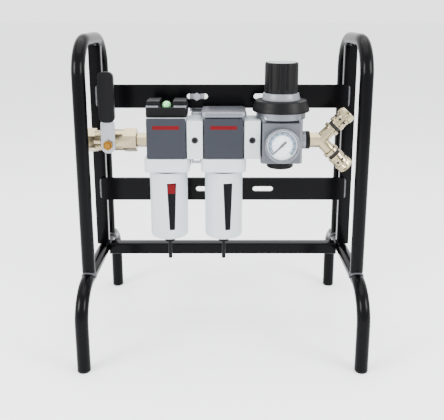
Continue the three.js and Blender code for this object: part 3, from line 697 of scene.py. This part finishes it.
# %% Gauge
low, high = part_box("gauge_case")
FACE = ((low.x + high.x) / 2, low.y, (low.z + high.z) / 2)
bezel = [(0, 10), (22.9, 10), (22.9, 1.4), (23.6, 0.2), (24.6, 0), (25.7, 1), (26, 2.5), (26, 5)]
bezel += [(25.2, 5.6), (25.2, 17.4), (24, 18), (7, 19), (7, 23), (5.5, 24), (5.5, 39.8), (0, 40)]
fit(turned("gauge_bezel", bezel, FACE, direction=(0, 1, 0), edge=0.35, sides=96), "gauge_case")
DIAL_Y = FACE[1] + 7.9 * MM
SWEEP_START = math.radians(-135)


def dial_marks(name, count, inner, outer, width, finish, spare=None):
    """Strips round the dial: mark k is at -135 + 270 k / n degrees from the top, and each is a thin box
    whose back lies on the dial. Every spare-th mark is left out for a longer one."""
    k = np.array([i for i in range(count + 1) if spare is None or i % spare])
    a = SWEEP_START + np.radians(270) * k / count
    radial = np.stack([np.sin(a), np.cos(a)], axis=-1)
    side = np.stack([np.cos(a), -np.sin(a)], axis=-1)
    flat = [r * radial + s * width / 2 * side for r, s in ((inner, -1), (inner, 1), (outer, 1), (outer, -1))]
    box = np.zeros((len(k), 8, 3))
    for j in range(4):
        for half, y in ((0, DIAL_Y - 0.3 * MM), (4, DIAL_Y)):
            box[:, j + half, 0] = FACE[0] + flat[j][:, 0] * MM
            box[:, j + half, 2] = FACE[2] + flat[j][:, 1] * MM
            box[:, j + half, 1] = y
    cell = np.array([[0, 1, 2, 3], [7, 6, 5, 4], [0, 4, 5, 1], [1, 5, 6, 2], [2, 6, 7, 3], [3, 7, 4, 0]])
    faces = (cell[None] + 8 * np.arange(len(k))[:, None, None]).reshape(-1, 4)
    return fit(add_mesh(name, box.reshape(-1, 3), faces), "gauge_dial", hide=False, finish=finish)


plate = [(0, 8), (22.3, 8), (22.3, 9.5), (0, 9.5)]
fit(turned("gauge_dial_plate", plate, FACE, direction=(0, 1, 0), edge=0.1), "gauge_dial")
dial_marks("dial_long_marks", 10, 16.2, 20.4, 1.2, "black_plastic")
dial_marks("dial_short_marks", 50, 18.2, 20.4, 0.5, "black_plastic", spare=5)
dial_marks("dial_inner_marks", 7, 12.6, 14.4, 0.6, "red_print")


def dial_band(name, inner, outer, finish):
    """The tinted scale: a thin ring sector between two radii over the 270 degree sweep."""
    a = SWEEP_START + np.linspace(0, math.radians(270), 90)
    section = np.array([[inner, 0.0], [outer, 0.0], [outer, 0.12], [inner, 0.12]])
    radius, depth = section[None, :, 0] * MM, section[None, :, 1] * MM
    grid = np.stack([FACE[0] + radius * np.sin(a)[:, None], DIAL_Y - depth + 0 * a[:, None],
                     FACE[2] + radius * np.cos(a)[:, None]], axis=-1)
    ends = [np.repeat(grid[k].mean(axis=0)[None, None], 4, axis=1) for k in (0, -1)]
    band = grid_mesh(name, np.concatenate([ends[0], grid, ends[1]]))
    return fit(band, "gauge_dial", hide=False, finish=finish)


def pointer(name):
    """A tapered blade from the tail to the tip, lying at the sweep's start."""
    tail, tip, wide, narrow = 8, 18, 1.7, 0.7
    along = np.array([math.sin(SWEEP_START), math.cos(SWEEP_START)])
    side = np.array([along[1], -along[0]])
    flat = [(-tail, wide), (-tail, -wide), (tip, -narrow), (tip, narrow)]
    ring = np.array([r * along + w * side for r, w in flat]) * MM
    rows = []
    for y in (6.2, 6.9):
        depth = np.full(4, FACE[1] + y * MM)
        rows.append(np.stack([FACE[0] + ring[:, 0], depth, FACE[2] + ring[:, 1]], axis=-1))
    ends = [np.repeat(row.mean(axis=0)[None], 4, axis=0) for row in rows]
    return fit(grid_mesh(name, np.array([ends[0], rows[0], rows[1], ends[1]])), "gauge_needle")


dial_band("dial_scale_band", 15.2, 20.8, "scale_band")
pointer("gauge_pointer")
fit(turned("gauge_hub", [(0, 5.7), (2.1, 5.7), (2.1, 7.3), (0, 7.3)], FACE, direction=(0, 1, 0), sides=32,
           edge=0.4), "gauge_needle", hide=False)
fit(turned("gauge_glass", [(0, 3), (22.7, 3.2), (22.7, 4.4), (0, 4.2)], FACE, direction=(0, 1, 0), edge=0.1),
    "gauge_lens")
print("gauge made")

# %% [markdown]
# Outlet and inlet fittings are turned and nickel plated. Each coupler's sleeve has a scalloped lip,
# and small dark balls show in its holes.

# %% Outlet fittings
FORK = np.array([151 * MM, LINE_Y, PORT_Z])
fit(turned("outlet_thread", [(5, 113.5), (8.6, 113.5), (8.6, 128.5), (14, 128.5), (14, 134.5), (7.6, 134.5),
                             (7.6, 142.5), (5, 142.5), (5, 113.5)], (0, LINE_Y, PORT_Z), direction=(1, 0, 0),
           edge=0.5, wrap=True), "outlet_nipple")
eased_copy("y_fitting", "y_fitting_casting", 0.5, angle=40)


def lip_hollows(angle, distance):
    """A scalloped grip: eight shallow hollows on the lip, none on the rest of the sleeve."""
    lip = (distance > 50.5) & (distance < 58.5)
    return 1 - 0.1 * lip * np.clip(np.cos(8 * angle) - 0.15, 0, 1)


for side, rise in (("upper", 1), ("lower", -1)):
    lean = (1, 0, rise)
    node = f"coupler_body_{side}"
    core = [(4, 21.8), (12, 21.8), (12.5, 22.6), (12.5, 27.4), (9.3, 28.2), (9.3, 60), (6.2, 60)]
    core += [(6.2, 36), (4, 34), (4, 21.8)]
    fit(turned(f"{node}_core", core, FORK, lean, edge=0.4, wrap=True), node)
    # the ring is thinner than the sleeve's bore, so the sleeve can slide back over it
    ring = [(9.1, 28.3), (9.55, 28.3), (9.55, 32.7), (9.1, 32.7), (9.1, 28.3)]
    dark = turned(f"coupler_ring_{side}", ring, FORK, lean, edge=0.08, wrap=True)
    fit(dark, node, hide=False, finish="rubber")
    sleeve = f"coupler_sleeve_{side}"
    rings = [(9.7, 33), (12.2, 33), (12.6, 34), (12.6, 38), (11.9, 38.6), (11.9, 49.6), (12.6, 50.2)]
    rings += [(13.2, 51), (13.2, 54), (13.2, 57), (12.6, 59), (12.2, 61), (9.7, 61.5), (9.7, 33)]
    grip = turned(f"{sleeve}_grip", rings, FORK, lean, sides=144, flutes=lip_hollows, edge=0.35, wrap=True)
    fit(grip, sleeve)
    across, up, along = axes_for(lean)
    for k in range(8):
        a = (k + 0.5) * math.pi / 4
        out = math.cos(a) * across + math.sin(a) * up
        spot = FORK + along * 44 * MM + out * 10.4 * MM
        dome = [(0, 0), (2.4, 0), (2.4, 1.4), (1.6, 1.7), (0, 1.8)]
        ball = turned(f"sleeve_{side}_ball_{k}", dome, spot, out, sides=20, edge=0.3)
        fit(ball, sleeve, hide=False, finish="rubber")
print("outlet made")

# %% [markdown]
# The inlet ball valve is nickel plated, with a steel lever held by a brass nut and a black sleeve
# pushed over the lever's end.

# %% Inlet valve
eased_copy("valve_body", "valve_body_casting", 0.8, angle=40)
eased_copy("inlet_nipple", "inlet_nipple_bar", 0.5)
eased_copy("lever", "lever_plate", 0.4)
eased_copy("lever_nut", "lever_nut_brass", 0.5)
eased_copy("lever_grip", "lever_sleeve", 1.8, segments=5)
print("valve made")
